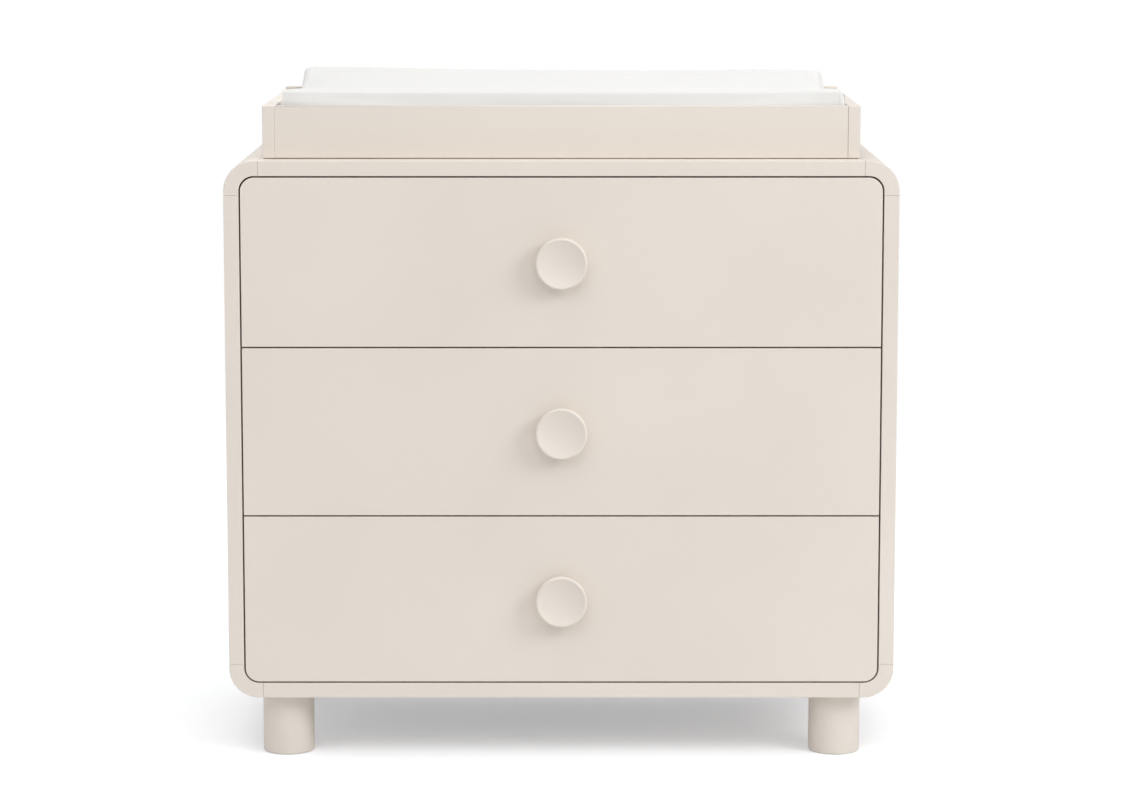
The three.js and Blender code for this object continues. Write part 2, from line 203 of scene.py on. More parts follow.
def zinc_plate(name):
    """Bright zinc on rolled steel, with rolling lines and a faint bluish to yellow cast."""
    n = Nodes(name)
    lines = n.noise(900.0, 3.0, 0.5, vector=n.mapped((1.0, 0.03, 1.0)))
    cloud = n.noise(11.0, 2.0, 0.5)
    base = n.mix(n.span(cloud, 0.0, 1.0, 0.3, 0.7), (0.57, 0.585, 0.605), (0.62, 0.615, 0.595))
    n.principled(
        Base_Color=base,
        Metallic=1.0,
        Roughness=n.span(n.math("ADD", lines, cloud), 0.27, 0.38, 0.6, 1.4),
        Normal=n.bump(lines, 0.00003, 0.6),
    )
    return n.mat


def pad_fabric(name, colour):
    """Fine white jersey over foam: knit ribs with painted shade in their low hollows, soft cloud of tone and a
    little fibre sheen.
    """
    n = Nodes(name)
    warp = n.wave(210.0, "X", 0.6)
    weft = n.wave(170.0, "Y", 0.6)
    rise = n.wave(170.0, "Z", 0.6)
    knit = n.math("MULTIPLY", warp, n.math("MULTIPLY", n.math("ADD", weft, rise), 0.5))
    fuzz = n.noise(1100.0, 3.0, 0.7)
    cloud = n.noise(7.0, 3.0)
    hollow_shade_and_tone = tuple(c * 0.93 for c in colour)
    # Painted shade: the knit's low hollows are coloured darker. The cloud mix below is random tone in the same
    # darker colour.
    base = n.mix(n.span(knit, 0.35, 0.0, 0.0, 0.8), colour, hollow_shade_and_tone)
    base = n.mix(n.span(cloud, 0.0, 0.25, 0.35, 0.7), base, hollow_shade_and_tone)
    rumple = n.noise(60.0, 3.0, 0.6)
    height = n.math("ADD", n.math("MULTIPLY", knit, 0.8), n.math("MULTIPLY", fuzz, 0.5))
    normal = n.bump(n.math("ADD", height, n.math("MULTIPLY", rumple, 1.2)), 0.00022, 0.5)
    n.principled(
        Base_Color=base,
        Roughness=n.span(fuzz, 0.78, 0.95, 0.3, 0.7),
        Sheen_Weight=0.25,
        Sheen_Roughness=0.5,
        Specular_IOR_Level=0.3,
        Normal=normal,
    )
    return n.mat


PAINT_RGB = (0.775, 0.712, 0.645)
PAINT = satin_paint("satin_paint", PAINT_RGB)
PAINT_FRONT = satin_paint("satin_paint_fronts", PAINT_RGB, offset=1.7)
BOX = laminate("drawer_board", (0.78, 0.745, 0.69))
BACK = fibreboard("hardboard", (0.70, 0.65, 0.585))
ZINC = zinc_plate("zinc_steel")
FABRIC = pad_fabric("pad_jersey", (0.765, 0.76, 0.745))


# ------------------------------------------------------------------ mesh helpers
def link(name, mesh, material):
    obj = bpy.data.objects.new(name, mesh)
    scene.collection.objects.link(obj)
    mesh.materials.clear()
    mesh.materials.append(material)
    return obj


def from_bmesh(name, bm, material):
    bmesh.ops.recalc_face_normals(bm, faces=bm.faces)
    mesh = bpy.data.meshes.new(name)
    bm.to_mesh(mesh)
    bm.free()
    mesh.shade_smooth()
    return link(name, mesh, material)


def place(axis, u, v, a):
    return {"X": (a, u, v), "Y": (u, a, v), "Z": (u, v, a)}[axis]


def turn_angle(points, i):
    a = Vector(points[i]) - Vector(points[i - 1])
    b = Vector(points[(i + 1) % len(points)]) - Vector(points[i])
    return abs(math.degrees(a.angle_signed(b)))


def prism(name, points, axis, a0, a1, material, width=1.2 * MM, seg_w=None, corner_w=None, segs=3):
    """An outline extruded along an axis, with softly rounded edges of their own width each."""
    n = len(points)
    seg_w = seg_w or [1.0] * n
    corner_w = corner_w or [1.0 if turn_angle(points, i) > 25 else 0.0 for i in range(n)]
    bm = bmesh.new()
    layer = bm.edges.layers.float.new("bevel_weight_edge")
    rings = [[bm.verts.new(place(axis, u, v, a)) for u, v in points] for a in (a0, a1)]
    for i in range(n):
        j = (i + 1) % n
        bm.faces.new((rings[0][i], rings[0][j], rings[1][j], rings[1][i]))
    bm.faces.new(rings[0])
    bm.faces.new(rings[1])
    for i in range(n):
        j = (i + 1) % n
        for ring in rings:
            bm.edges.get((ring[i], ring[j]))[layer] = seg_w[i]
        bm.edges.get((rings[0][i], rings[1][i]))[layer] = corner_w[i]
    obj = from_bmesh(name, bm, material)
    bevel = obj.modifiers.new("round", "BEVEL")
    bevel.limit_method = "WEIGHT"
    bevel.width = width
    bevel.segments = segs
    bevel.use_clamp_overlap = True
    normals = obj.modifiers.new("normals", "WEIGHTED_NORMAL")
    normals.keep_sharp = True
    return obj


def board(name, lo, hi, axis, material, width=1.2 * MM, end_w=1.0, side_w=1.0):
    """A box: its long edges along axis take side_w, the edges of its two ends end_w."""
    u, v = {"X": (1, 2), "Y": (0, 2), "Z": (0, 1)}[axis]
    a = "XYZ".index(axis)
    points = [(lo[u], lo[v]), (hi[u], lo[v]), (hi[u], hi[v]), (lo[u], hi[v])]
    return prism(name, points, axis, lo[a], hi[a], material, width, [end_w] * 4, [side_w] * 4)


def arc(cx, cy, r, start, end, steps):
    out = []
    for i in range(steps + 1):
        a = math.radians(start + (end - start) * i / steps)
        out.append((cx + r * math.cos(a), cy + r * math.sin(a)))
    return out


def turn_into(bm, profile, centre, axis, segments):
    """Adds a profile of (radius, height along axis) turned about the axis through centre."""
    cx, cy, cz = centre

    def put(a, b, h):
        if axis == "X":
            return bm.verts.new((cx + h, cy + a, cz + b))
        if axis == "Y":
            return bm.verts.new((cx + a, cy + h, cz + b))
        return bm.verts.new((cx + a, cy + b, cz + h))

    made = []
    for r, h in profile:
        if r < 1e-7:
            made.append([put(0, 0, h)])
            continue
        made.append([put(r * math.cos(2 * math.pi * k / segments), r * math.sin(2 * math.pi * k / segments), h) for k in range(segments)])
    for a, b in zip(made, made[1:]):
        for k in range(segments):
            m = (k + 1) % segments
            if len(a) == 1:
                bm.faces.new((a[0], b[k], b[m]))
            elif len(b) == 1:
                bm.faces.new((a[k], a[m], b[0]))
            else:
                bm.faces.new((a[k], a[m], b[m], b[k]))


def lathe(name, profile, centre, axis, material, segments=96):
    bm = bmesh.new()
    turn_into(bm, profile, centre, axis, segments)
    return from_bmesh(name, bm, material)


def fillet(profile, radii, steps=8):
    """The profile with each vertex rounded to its radius."""
    out = []
    for i, p in enumerate(profile):
        r = radii[i]
        if r <= 0 or i == 0 or i == len(profile) - 1:
            out.append(p)
            continue
        a = (Vector(profile[i - 1]) - Vector(p))
        b = (Vector(profile[i + 1]) - Vector(p))
        half = a.angle(b) / 2
        cut = min(r / math.tan(half), a.length * 0.49, b.length * 0.49)
        r = cut * math.tan(half)
        centre = Vector(p) + (a.normalized() + b.normalized()).normalized() * (r / math.sin(half))
        s = Vector(p) + a.normalized() * cut - centre
        e = Vector(p) + b.normalized() * cut - centre
        turn = s.angle_signed(e)
        for k in range(steps + 1):
            c, q = math.cos(-turn * k / steps), math.sin(-turn * k / steps)
            out.append((centre.x + s.x * c - s.y * q, centre.y + s.x * q + s.y * c))
    return out


def stands_for(obj, node, body):
    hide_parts(node)
    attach(obj, body)
    return obj


# ------------------------------------------------------------------ camera
YC = (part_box("top_panel")[0].y)  # the case's front plane
cam_data = bpy.data.cameras.new("camera")
cam = bpy.data.objects.new("camera", cam_data)
scene.collection.objects.link(cam)
cam_data.sensor_width = 36.0
cam_data.lens = 111.0
cam_data.shift_y = -0.04
cam_data.clip_end = 200
cam.location = (0.0016, YC - 5.0, 1.270)
cam.rotation_euler = (math.radians(90 - 7.648), 0, 0)
scene.camera = cam


# ------------------------------------------------------------------ case
REACH, RO, RI, T = 50 * MM, 44 * MM, 22 * MM, 22 * MM
for name, axis in (("top_panel", "X"), ("bottom_panel", "X"), ("left_side_panel", "Z"), ("right_side_panel", "Z")):
    lo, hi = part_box(name)
    stands_for(board(name + "_painted", lo, hi, axis, PAINT, 0.9 * MM, end_w=0.35), name, "case")

for name, sx, sz in (
    ("top_left_corner", -1, 1),
    ("top_right_corner", 1, 1),
    ("bottom_left_corner", -1, -1),
    ("bottom_right_corner", 1, -1),
):
    lo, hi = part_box(name)
    ox = lo.x if sx < 0 else hi.x
    oz = hi.z if sz > 0 else lo.z
    local = (
        [(REACH, 0)]
        + arc(RO, RO, RO, 270, 180, 28)
        + [(0, REACH), (T, REACH)]
        + arc(RO, RO, RI, 180, 270, 20)
        + [(REACH, T)]
    )
    points = [(ox - sx * u, oz - sz * v) for u, v in local]
    joints = {0, 30, 31, len(local) - 1}
    seg_w = [1.0] * len(local)
    seg_w[30] = 0.35
    seg_w[len(local) - 1] = 0.35
    corner_w = [0.35 if i in joints else 0.0 for i in range(len(local))]
    stands_for(
        prism(name + "_painted", points, "Y", lo.y, hi.y, PAINT, 0.9 * MM, seg_w, corner_w),
        name,
        "case",
    )

for name in ("lower_front_rail", "upper_front_rail"):
    lo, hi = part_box(name)
    stands_for(board(name + "_painted", lo, hi, "X", PAINT, 1.0 * MM), name, "case")


# ------------------------------------------------------------------ legs
for where in ("front_left", "front_right", "back_left", "back_right"):
    lo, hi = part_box(where + "_leg")
    c = ((lo.x + hi.x) / 2, (lo.y + hi.y) / 2, 0)
    r = (hi.x - lo.x) / 2
    profile = fillet(
        [(0, 0), (r, 0), (r, hi.z), (0, hi.z)],
        [0, 2.6 * MM, 0.8 * MM, 0],
    )
    profile = [p for k, p in enumerate(profile)]
    leg = lathe(where + "_leg_turned", profile, c, "Z", PAINT, 96)
    leg.modifiers.new("normals", "WEIGHTED_NORMAL")
    stands_for(leg, where + "_leg", "case")


# ------------------------------------------------------------------ drawers
for row in ("lower", "middle", "upper"):
    body = row + "_drawer"
    lo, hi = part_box(row + "_drawer_front")
    R = 20 * MM
    bl = R if row == "lower" else 0
    tl = R if row == "upper" else 0

    def corner(cx, cz, r, a, sx, sz):
        return arc(cx + sx * r, cz + sz * r, r, a, a + 90, 16) if r else [(cx, cz)]

    points = (
        corner(lo.x, lo.z, bl, 180, 1, 1)
        + corner(hi.x, lo.z, bl, 270, -1, 1)
        + corner(hi.x, hi.z, tl, 0, -1, -1)
        + corner(lo.x, hi.z, tl, 90, 1, -1)
    )
    front = prism(row + "_drawer_face", points, "Y", lo.y, hi.y, PAINT_FRONT, 0.8 * MM)
    stands_for(front, row + "_drawer_front", body)

    lo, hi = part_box(row + "_knob")
    r = (hi.x - lo.x) / 2
    out = hi.y - lo.y
    centre = ((lo.x + hi.x) / 2, hi.y, (lo.z + hi.z) / 2)
    dish_r, dish = r - 4.6 * MM, 6.5 * MM
    sphere = (dish_r**2 + dish**2) / (2 * dish)
    bowl = []
    for k in range(21):
        q = dish_r * k / 20
        bowl.append((q, -out + 0.7 * MM + math.sqrt(sphere**2 - q**2) - (sphere - dish)))
    rim = fillet(
        [bowl[-2], bowl[-1], (r - 2.6 * MM, -out), (r, -out + 2.4 * MM), (r - 0.4 * MM, -out + 9 * MM), (r - 2.6 * MM, -1.0 * MM), (r - 3.4 * MM, 0), (0, 0)],
        [0, 1.6 * MM, 2.4 * MM, 2.6 * MM, 9 * MM, 1.0 * MM, 0.5 * MM, 0],
        8,
    )
    profile = bowl[:-1] + rim[1:]
    knob = lathe(row + "_knob_turned", profile, centre, "Y", PAINT_FRONT, 128)
    knob.modifiers.new("normals", "WEIGHTED_NORMAL")
    stands_for(knob, row + "_knob", body)


# ------------------------------------------------------------------ tray
for name, axis in (
    ("tray_left_panel", "Y"),
    ("tray_right_panel", "Y"),
    ("tray_front_panel", "X"),
    ("tray_back_panel", "X"),
):
    lo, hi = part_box(name)
    ends = 1.0
    if name == "tray_front_panel":
        ends = 0.0
        lo = lo - Vector((0.26 * MM, 0, 0))
    stands_for(board(name + "_painted", lo, hi, axis, PAINT, 1.2 * MM, end_w=ends), name, "case")


# ------------------------------------------------------------------ carried-over CAD nodes
def soften(node, material, width, segs=2):
    obj = NODES[node]
    obj.data.materials.clear()
    obj.data.materials.append(material)
    if width:
        weld = obj.modifiers.new("weld", "WELD")
        weld.merge_threshold = 1e-5
        bevel = obj.modifiers.new("round", "BEVEL")
        bevel.limit_method = "ANGLE"
        bevel.angle_limit = math.radians(35)
        bevel.width = width
        bevel.segments = segs
        bevel.harden_normals = True


for row in ("lower", "middle", "upper"):
    for part in ("left_side", "right_side", "back"):
        soften(f"{row}_drawer_{part}", BOX, 0.8 * MM)
    soften(f"{row}_drawer_bottom", BACK, 0.4 * MM)
    soften(f"{row}_knob_screw", ZINC, 0.25 * MM)
soften("back_panel", BACK, 0.4 * MM)
soften("tray_base", BACK, 0.4 * MM)
for hand in ("left", "right"):
    soften(f"tray_{hand}_plate", ZINC, 0.3 * MM)
for where in ("front_left", "front_right", "back_left", "back_right"):
    soften(where + "_leg_bolt", ZINC, 0)

def strip(path, t):
    """The outline of sheet metal of thickness t that follows a path, on the path's left."""
    n = len(path)
    inner = []
    for i in range(n):
        p = Vector(path[i])
        d0 = (p - Vector(path[i - 1])).normalized() if i > 0 else None
        d1 = (Vector(path[i + 1]) - p).normalized() if i < n - 1 else None
        d0, d1 = d0 or d1, d1 or d0
        n0, n1 = Vector((-d0.y, d0.x)), Vector((-d1.y, d1.x))
        m = (n0 + n1).normalized()
        inner.append(p + m * t / max(0.5, m.dot(n0)))
    return [Vector(p) for p in path] + inner[::-1]


def mirrored(half):
    return half + [(x, -z) for x, z in reversed(half)]


PAN = [(0, 1.7), (2.4, 1.5), (3.4, 0.9), (3.9, 0.0), (2.0, -0.1), (2.0, -0.9), (0, -0.9)]


def slide_member(node, body, side, half, x_of, screw_x, screw_way, screw_ys):
    """A rolled channel along Y, and the pan-head screws that hold its web."""
    lo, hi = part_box(node)
    zc = (lo.z + hi.z) / 2
    outline = strip([(x * MM, z * MM) for x, z in mirrored(half)], 1.2 * MM)
    points = [(side * (x_of + u), zc + v) for u, v in outline]
    member = prism(node + "_rolled", points, "Y", lo.y, hi.y, ZINC, 0.12 * MM, segs=1)
    stands_for(member, node, body)
    bm = bmesh.new()
    for y in screw_ys:
        turn_into(bm, [(r * MM, side * screw_way * h * MM) for r, h in PAN], (side * screw_x, lo.y + y * MM, zc), "X", 24)
    screws = from_bmesh(node + "_screws", bm, ZINC)
    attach(screws, body)


for row in ("lower", "middle", "upper"):
    for hand, side in (("left", -1), ("right", 1)):
        node = f"{row}_{hand}_drawer_slide"
        lo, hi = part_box(node)
        near_x, far_x = sorted((abs(lo.x), abs(hi.x)))
        h = (hi.z - lo.z) / 2 / MM
        slide_member(
            node, row + "_drawer", side,
            [(9.2, h), (7.1, h), (6.5, h - 0.9), (5.6, h - 1.6), (4.6, h - 1.8), (3.6, h - 1.6), (2.7, h - 0.9), (2.2, h), (1.2, h), (0.4, h - 0.4), (0, h - 1.2)],
            near_x, near_x + 1.2 * MM, 1, (28, 190, 372),
        )
        node = f"{row}_{hand}_case_slide"
        lo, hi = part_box(node)
        near_x, far_x = sorted((abs(lo.x), abs(hi.x)))
        h = (hi.z - lo.z) / 2 / MM
        slide_member(
            node, "case", side,
            [(0.9, h - 7), (0, h - 6), (0, h - 2.6), (0.7, h - 1.3), (2.4, h - 1.2), (3.2, h - 0.5), (4.4, h), (5.8, h), (7.0, h - 0.5), (7.8, h - 1.2), (9.4, h - 1.2), (10.1, h - 1.6), (10.4, h - 2.6)],
            near_x, far_x - 1.2 * MM, -1, (18, 150, 300, 385),
        )

# Pan-head screws that hold the tray's plates.
for hand in ("left", "right"):
    lo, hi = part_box(f"tray_{hand}_plate")
    x = (lo.x + hi.x) / 2
    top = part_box("top_panel")[1].z
    for k, dz in enumerate((-8, 22, 46)):
        head = fillet(
            [(0, -1.6 * MM), (1.0 * MM, -1.6 * MM), (1.3 * MM, -2.3 * MM), (3.0 * MM, -2.1 * MM), (4.0 * MM, 0.0), (2.0 * MM, 0.0), (2.0 * MM, 2.4 * MM), (0, 2.4 * MM)],
            [0, 0.1 * MM, 0.3 * MM, 1.2 * MM, 0.2 * MM, 0, 0, 0],
            5,
        )
        screw = lathe(
            f"tray_{hand}_screw_{k + 1}",
            [(r, -h) for r, h in head],
            (x, hi.y, top + dz * MM),
            "Y",
            ZINC,
            32,
        )
        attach(screw, "case")


# ------------------------------------------------------------------ pad
def smooth_curve(knots, per):
    """Catmull-Rom through the knots, closed."""
    n = len(knots)
    out = []
    for i in range(n):
        p0, p1, p2, p3 = (Vector(knots[(i + k) % n]) for k in (-1, 0, 1, 2))
        for k in range(per):
            t = k / per
            out.append(
                0.5
                * (
                    2 * p1
                    + (p2 - p0) * t
                    + (2 * p0 - 5 * p1 + 4 * p2 - p3) * t * t
                    + (3 * p1 - p0 - 3 * p2 + p3) * t**3
                )
            )
    return out


def pad_section():
    """The pad's cross-section in (y, z), anticlockwise seen from +X."""
    lo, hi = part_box("changing_pad")
    y0, y1, z = lo.y, hi.y, lo.z
    mid = (y0 + y1) / 2
    rear, near, valley = 103 * MM, 94 * MM, 52 * MM
    knots = [
        (y0 + 3 * MM, z + 3 * MM),
        (y0 + 14 * MM, z),
        (y0 + 60 * MM, z),
        (y0 + 130 * MM, z),
        (mid, z),
        (y1 - 130 * MM, z),
        (y1 - 60 * MM, z),
        (y1 - 14 * MM, z),
        (y1 - 3 * MM, z + 3 * MM),
        (y1, z + 16 * MM),
        (y1, z + rear * 0.45),
        (y1 - 0.5 * MM, z + rear - 30 * MM),
        (y1 - 4 * MM, z + rear - 13 * MM),
        (y1 - 14 * MM, z + rear - 3 * MM),
        (y1 - 31 * MM, z + rear),
        (y1 - 50 * MM, z + rear - 5 * MM),
        (y1 - 74 * MM, z + valley + 29 * MM),
        (y1 - 102 * MM, z + valley + 11 * MM),
        (y1 - 136 * MM, z + valley + 2 * MM),
        (mid + 30 * MM, z + valley - 1 * MM),
        (mid - 30 * MM, z + valley - 1 * MM),
        (y0 + 136 * MM, z + valley + 2 * MM),
        (y0 + 102 * MM, z + valley + 10 * MM),
        (y0 + 74 * MM, z + valley + 25 * MM),
        (y0 + 50 * MM, z + near - 4 * MM),
        (y0 + 26 * MM, z + near),
        (y0 + 8 * MM, z + near - 0.8 * MM),
        (y0 + 2.4 * MM, z + near - 3 * MM),
        (y0 + 0.4 * MM, z + near - 9 * MM),
        (y0 - 1.4 * MM, z + near - 22 * MM),
        (y0 - 1.4 * MM, z + near * 0.45),
        (y0, z + 16 * MM),
    ]
    return smooth_curve(knots, 5)


def ease(t):
    t = min(1.0, max(0.0, t))
    return t * t * (3 - 2 * t)


def pad_mesh(inset):
    lo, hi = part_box("changing_pad")
    section = pad_section()
    n = len(section)
    normals = []
    for i in range(n):
        t = (section[(i + 1) % n] - section[i - 1]).normalized()
        normals.append(Vector((t.y, -t.x)))
    x0, x1 = lo.x, hi.x
    mid_y = (lo.y + hi.y) / 2
    near_end = [0.0, 0.5, 1.2, 2.2, 3.6, 5.5, 8.0, 11.0, 15.0]
    steps = 120
    first, last = x0 + 15 * MM, x1 - 15 * MM
    stations = [x0 + e * MM for e in near_end]
    stations += [first + (last - first) * k / steps for k in range(1, steps)]
    stations += [x1 - e * MM for e in reversed(near_end)]
    bm = bmesh.new()
    rings = []
    for x in stations:
        ring = []
        left = x - x0 < x1 - x
        end = min(x - x0, x1 - x)
        for p, m in zip(section, normals):
            far = p.x > mid_y
            # Each roll's top corner has its own rounding: (reach along the roll, drop across it, end moved out).
            reach, drop, out = {
                (True, True): (13, 6, -2.0),
                (True, False): (2.5, 1.5, -0.6),
                (False, True): (15, 7, -4.0),
                (False, False): (14, 10, 2.6),
            }[(left, far)]
            high = ease((p.y - lo.z - 58 * MM) / (34 * MM))
            reach = (2.5 + (reach - 2.5) * high) * MM
            drop = (1.5 + (drop - 1.5) * high) * MM
            t = min(1.0, end / reach)
            d = drop * (1 - math.sqrt(max(0.0, 1 - (1 - t) ** 2)))
            q = p - m * (d + inset)
            away = (-1 if left else 1) * out * MM * ease(1 - end / (60 * MM)) * ease(abs(p.x - mid_y) / (60 * MM))
            if left and far:
                away += 3.8 * MM * ease((p.y - lo.z - 66 * MM) / (34 * MM)) * ease(1 - end / (30 * MM))
            # The far roll stands a little higher towards its left end.
            t = ease((0.12 - x) / 0.5)
            lift = min(1.0, max(0.0, (q.y - lo.z - 55 * MM) / (45 * MM))) if far else 0.0
            rise = (4.2 * t + 1.2 * math.exp(-(((x - 0.02) / 0.12) ** 2)) + (1.4 * ease(1 - end / (110 * MM)) if left else 0.0)) * MM
            ring.append(bm.verts.new((x + away, q.x, max(q.y + rise * lift, lo.z + inset * 0.4))))
        rings.append(ring)
    for a, b in zip(rings, rings[1:]):
        for i in range(n):
            j = (i + 1) % n
            bm.faces.new((a[i], a[j], b[j], b[i]))
    # The flat ends close in rings that step in from the rim, then fill.
    for rim in (rings[0], rings[-1]):
        points = [v.co.copy() for v in rim]
        for step in (2.5, 6, 11, 17):
            inner = []
            for i, (c, m) in enumerate(zip(points, normals)):
                q = c - Vector((0, m.x, m.y)) * step * MM
                inner.append(bm.verts.new((c.x, q.y, q.z)))
            for i in range(n):
                j = (i + 1) % n
                bm.faces.new((rim[i], rim[j], inner[j], inner[i]))
            rim = inner
        bm.faces.new(rim)
    bmesh.ops.recalc_face_normals(bm, faces=bm.faces)
    bmesh.ops.triangulate(bm, faces=[f for f in bm.faces if len(f.verts) > 4])
    return bm


def active(obj):
    bpy.ops.object.select_all(action="DESELECT")
    bpy.context.view_layer.objects.active = obj
    obj.select_set(True)


def baked(obj):
    """The object's mesh with its modifiers applied."""
    bpy.context.view_layer.update()
    graph = bpy.context.evaluated_depsgraph_get()
    mesh = bpy.data.meshes.new_from_object(obj.evaluated_get(graph), depsgraph=graph)
    obj.modifiers.clear()
    old = obj.data
    obj.data = mesh
    bpy.data.meshes.remove(old)


PLO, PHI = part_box("changing_pad")
pad = from_bmesh("changing_pad_cover", pad_mesh(1.2 * MM), FABRIC)

# An even-meshed copy of the cover is blown up as cloth, its end rims held by their welts.
bag = from_bmesh("pad_bag", pad_mesh(1.2 * MM), FABRIC)
remesh = bag.modifiers.new("remesh", "REMESH")
remesh.mode = "VOXEL"
remesh.voxel_size = 5.0 * MM
baked(bag)
before = [v.co.copy() for v in bag.data.vertices]
floor_z = PLO.z
pins = bag.vertex_groups.new(name="rest")
for v in bag.data.vertices:
    low = max(0.0, 1.0 - (v.co.z - floor_z) / (8 * MM)) * 1.5
    if min(v.co.x - PLO.x, PHI.x - v.co.x) < 14 * MM and 0.3 < abs(v.normal.x) < 0.96:
        low = max(low, 0.92)
    if low > 0:
        pins.add([v.index], min(1.0, low), "REPLACE")
cloth = bag.modifiers.new("cloth", "CLOTH")
s = cloth.settings
s.quality = 5
s.mass = 0.25
s.tension_stiffness = 12
s.compression_stiffness = 12
s.shear_stiffness = 8
s.bending_stiffness = 0.6
s.tension_damping = s.compression_damping = s.shear_damping = 6
s.use_pressure = True
s.uniform_pressure_force = 4.0
s.effector_weights.gravity = 0.0
s.vertex_group_mass = "rest"
s.pin_stiffness = 2.0
cloth.collision_settings.use_collision = False
cloth.collision_settings.use_self_collision = False
scene.frame_start, scene.frame_end = 1, 20
cloth.point_cache.frame_start, cloth.point_cache.frame_end = 1, 20
for f in range(1, 21):
    scene.frame_set(f)
baked(bag)
scene.frame_set(1)
CAP = 2.6 * MM
tree = KDTree(len(before))
moves = []
for i, (v, old) in enumerate(zip(bag.data.vertices, before)):
    move = v.co - old
    moves.append(move * min(1.0, CAP / max(move.length, 1e-9)))
    tree.insert(old, i)
tree.balance()
# The cover takes the cloth's movement, and keeps its own crisp rims.
for v in pad.data.vertices:
    total, shift = 0.0, Vector()
    for _, i, d in tree.find_n(v.co, 10):
        w = math.exp(-((d / (6 * MM)) ** 2)) + 1e-6
        total += w
        shift += moves[i] * w
    shift /= total
    v.co += Vector((shift.x * 0.35, shift.y, shift.z))
bpy.data.objects.remove(bag, do_unlink=True)
sub = pad.modifiers.new("sub", "SUBSURF")
sub.levels = sub.render_levels = 1
baked(pad)

# Soft creases: slack in the cover, drawn up and down the rolls' faces, and calm in the valley.
tray_front_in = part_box("tray_front_panel")[1].y
tray_back_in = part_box("tray_back_panel")[0].y
tray_left_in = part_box("tray_left_panel")[1].x
tray_right_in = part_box("tray_right_panel")[0].x
mesh = pad.data
normals = [v.normal.copy() for v in mesh.vertices]


def seam_plane(x_near, x_far):
    """An upright plane across the pad, through one point on each roll."""
    a, b = Vector((x_near, PLO.y, 0)), Vector((x_far, PHI.y, 0))
    return a, Vector(((b - a).y, -(b - a).x, 0)).normalized()


SEAMS = (
    seam_plane(PLO.x + 1.6 * MM, PLO.x + 3.4 * MM),
    seam_plane(PHI.x - 4.2 * MM, PHI.x - 9.5 * MM),
)
for v, m in zip(mesh.vertices, normals):
    p = v.co
    steep = max(abs(m.y), abs(m.x))
    a = noise.noise(Vector((p.x * 15, p.y * 5 + 3.1, p.z * 6)))
    b = noise.noise(Vector((p.x * 46 + 9.3, p.y * 13, p.z * 11)))
    c = noise.noise(Vector((p.x * 3.7, p.y * 9.0, p.z * 7 + 5)))
    near_end = min((abs((p - co).dot(no)) for co, no in SEAMS))
    pucker = noise.noise(Vector((p.x * 6, p.y * 95, p.z * 95))) * math.exp(-near_end / (7 * MM))
    dent = -0.15 * math.exp(-((near_end / (2.0 * MM)) ** 2))
    lift = 0.6 * a * (0.3 + 0.7 * steep) + 0.4 * b * steep + 0.5 * c + 0.35 * pucker + dent
    v.co = p + m * lift * MM
    v.co.z = max(v.co.z, PLO.z)
    v.co.x = min(max(v.co.x, tray_left_in + 1.5 * MM), tray_right_in - 1.5 * MM)
    v.co.y = min(max(v.co.y, tray_front_in + 1.2 * MM), tray_back_in - 1.2 * MM)
mesh.update()
mesh.shade_smooth()
mesh.materials.clear()
mesh.materials.append(FABRIC)
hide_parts("changing_pad")
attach(pad, "pad")


def contour(mesh, co, no):
    """The mesh's outline where a plane cuts it, as an ordered loop of points."""
    bm = bmesh.new()
    bm.from_mesh(mesh)
    cut = bmesh.ops.bisect_plane(
        bm, geom=bm.verts[:] + bm.edges[:] + bm.faces[:], plane_co=co, plane_no=no
    )["geom_cut"]
    edges = {e for e in cut if isinstance(e, bmesh.types.BMEdge)}
    best = []
    while edges:
        e = edges.pop()
        loop, tip = [e.verts[0], e.verts[1]], e.verts[1]
        while True:
            step = next((q for q in tip.link_edges if q in edges), None)
            if step is None:
                break
            edges.remove(step)
            tip = step.other_vert(tip)
            loop.append(tip)
        if len(loop) > len(best):
            best = loop
    points = [v.co.copy() for v in best]
    bm.free()
    return points


def resample(points, count):
    """Even steps round a closed loop."""
    if (points[0] - points[-1]).length < 1e-6:
        points = points[:-1]
    n = len(points)
    lengths = [(points[(i + 1) % n] - points[i]).length for i in range(n)]
    total, out, i, used = sum(lengths), [], 0, 0.0
    for k in range(count):
        want = total * k / count
        while used + lengths[i] < want:
            used += lengths[i]
            i += 1
        t = (want - used) / max(lengths[i], 1e-9)
        out.append(points[i].lerp(points[(i + 1) % n], t))
    for _ in range(3):
        out = [(out[k - 1] + out[k] * 2 + out[(k + 1) % count]) / 4 for k in range(count)]
    return out


def piping(name, seam, radius, sides=12):
    """A welt sewn round the pad's end, lying on the cover where the seam's plane cuts it."""
    co, no = seam
    loop = resample(contour(pad.data, co, no), 420)
    n = len(loop)
    middle = sum(loop, Vector()) / n
    turns = sum((loop[i] - middle).cross(loop[(i + 1) % n] - middle).dot(no) for i in range(n))
    sign = 1 if turns > 0 else -1
    bm = bmesh.new()
    rings = []
    for i in range(n):
        t = (loop[(i + 1) % n] - loop[i - 1]).normalized()
        out = t.cross(no) * sign
        c = loop[i] + out * radius * 0.35
        c.z = max(c.z, PLO.z + radius)
        rings.append(
            [
                bm.verts.new(c + no * radius * math.cos(2 * math.pi * k / sides) + out * radius * math.sin(2 * math.pi * k / sides))
                for k in range(sides)
            ]
        )
    for i in range(n):
        a, b = rings[i], rings[(i + 1) % n]
        for k in range(sides):
            m = (k + 1) % sides
            bm.faces.new((a[k], a[m], b[m], b[k]))
    welt = from_bmesh(name, bm, FABRIC)
    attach(welt, "pad")


piping("pad_left_piping", SEAMS[0], 0.9 * MM)
piping("pad_right_piping", SEAMS[1], 0.9 * MM)


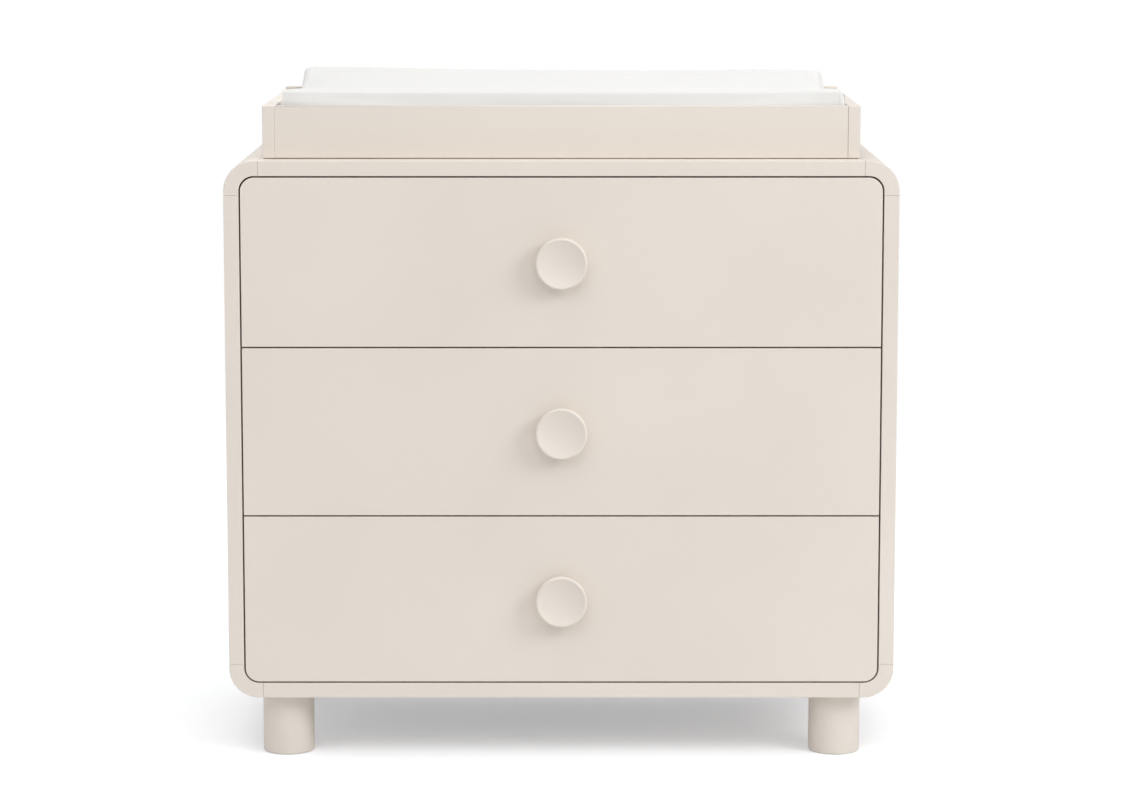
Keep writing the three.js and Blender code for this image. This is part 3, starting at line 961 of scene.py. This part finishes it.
# ------------------------------------------------------------------ floor, light, world
bm = bmesh.new()
rings = []
for r in (0.0, 1.0, 2.0, 4.0, 8.0, 14.0):
    if r == 0:
        rings.append([bm.verts.new((0, 0, 0))])
    else:
        rings.append([bm.verts.new((r * math.cos(k * math.pi / 24), r * math.sin(k * math.pi / 24), 0)) for k in range(48)])
for a, b in zip(rings, rings[1:]):
    for k in range(48):
        m = (k + 1) % 48
        if len(a) == 1:
            bm.faces.new((a[0], b[k], b[m]))
        else:
            bm.faces.new((a[k], b[k], b[m], a[m]))
n = Nodes("studio_floor")
length = n.add("ShaderNodeVectorMath", operation="LENGTH")
n.link(n.coords, length.inputs[0])
fade = n.span(length.outputs["Value"], 0.0, 1.0, 1.3, 3.4)
seen = n.add("ShaderNodeLightPath").outputs["Is Camera Ray"]
floor_shader = n.principled(
    Base_Color=n.mix(
        seen,
        (0.78, 0.78, 0.78),
        n.mix(n.noise(3.0, 2.0), (0.93, 0.93, 0.93), (0.95, 0.95, 0.95)),
    ),
    Roughness=0.9,
    Emission_Color=(0.94, 1.0, 1.08, 1),
    Emission_Strength=n.span(seen, 0.05, 0.23),
)
clear = n.add("ShaderNodeBsdfTransparent")
blend = n.add("ShaderNodeMixShader")
n.link(fade, blend.inputs[0])
n.link(floor_shader.outputs[0], blend.inputs[1])
n.link(clear.outputs[0], blend.inputs[2])
n.link(blend.outputs[0], n.out.inputs["Surface"])
floor = from_bmesh("studio_floor", bm, n.mat)

world = bpy.data.worlds.new("studio")
scene.world = world
world.use_nodes = True
wt = world.node_tree
wt.nodes.clear()
w_out = wt.nodes.new("ShaderNodeOutputWorld")
bg_light = wt.nodes.new("ShaderNodeBackground")
bg_light.inputs["Color"].default_value = (1, 1, 1, 1)
# A white wall behind the object and a dimmer room in front of it.
w_dir = wt.nodes.new("ShaderNodeTexCoord")
w_xyz = wt.nodes.new("ShaderNodeSeparateXYZ")
w_span = wt.nodes.new("ShaderNodeMapRange")
w_span.interpolation_type = "SMOOTHSTEP"
for key, value in (("From Min", -0.1), ("From Max", 0.75), ("To Min", 0.5), ("To Max", 0.66)):
    w_span.inputs[key].default_value = value
wt.links.new(w_dir.outputs["Generated"], w_xyz.inputs[0])
wt.links.new(w_xyz.outputs["Y"], w_span.inputs["Value"])
wt.links.new(w_span.outputs["Result"], bg_light.inputs["Strength"])
bg_seen = wt.nodes.new("ShaderNodeBackground")
bg_seen.inputs["Color"].default_value = (1, 1, 1, 1)
bg_seen.inputs["Strength"].default_value = 1.0
path = wt.nodes.new("ShaderNodeLightPath")
w_mix = wt.nodes.new("ShaderNodeMixShader")
wt.links.new(path.outputs["Is Camera Ray"], w_mix.inputs[0])
wt.links.new(bg_light.outputs[0], w_mix.inputs[1])
wt.links.new(bg_seen.outputs[0], w_mix.inputs[2])
wt.links.new(w_mix.outputs[0], w_out.inputs["Surface"])


def area(name, azimuth, elevation, distance, size, power, target=(0, 0, 0.5), colour=(1, 1, 1)):
    """A softbox seen from the object at that azimuth (0 is in front, 90 to the right)."""
    data = bpy.data.lights.new(name, "AREA")
    data.shape = "RECTANGLE"
    data.size, data.size_y = size
    data.energy = power
    data.color = colour
    obj = bpy.data.objects.new(name, data)
    scene.collection.objects.link(obj)
    a, e = math.radians(azimuth), math.radians(elevation)
    back = Vector((math.sin(a) * math.cos(e), -math.cos(a) * math.cos(e), math.sin(e)))
    obj.location = Vector(target) + back * distance
    obj.rotation_euler = (-back).to_track_quat("-Z", "Y").to_euler()
    return obj


area("key", 56, 28, 4.5, (1.8, 1.8), 72, target=(0, 0, 0.55))
area("front", -6, 42, 5.0, (4.0, 3.0), 50, target=(0, 0, 0.35))
area("overhead", 0, 84, 3.4, (3.4, 2.6), 31)
area("fill", -50, 26, 4.6, (3.0, 2.4), 13, target=(0, 0, 0.4))
area("rear", 196, 38, 4.8, (3.4, 2.4), 34, target=(0, 0, 0.4))

scene.view_settings.view_transform = "Standard"
scene.view_settings.look = "None"
scene.view_settings.exposure = 0.0
scene.view_settings.gamma = 1.0
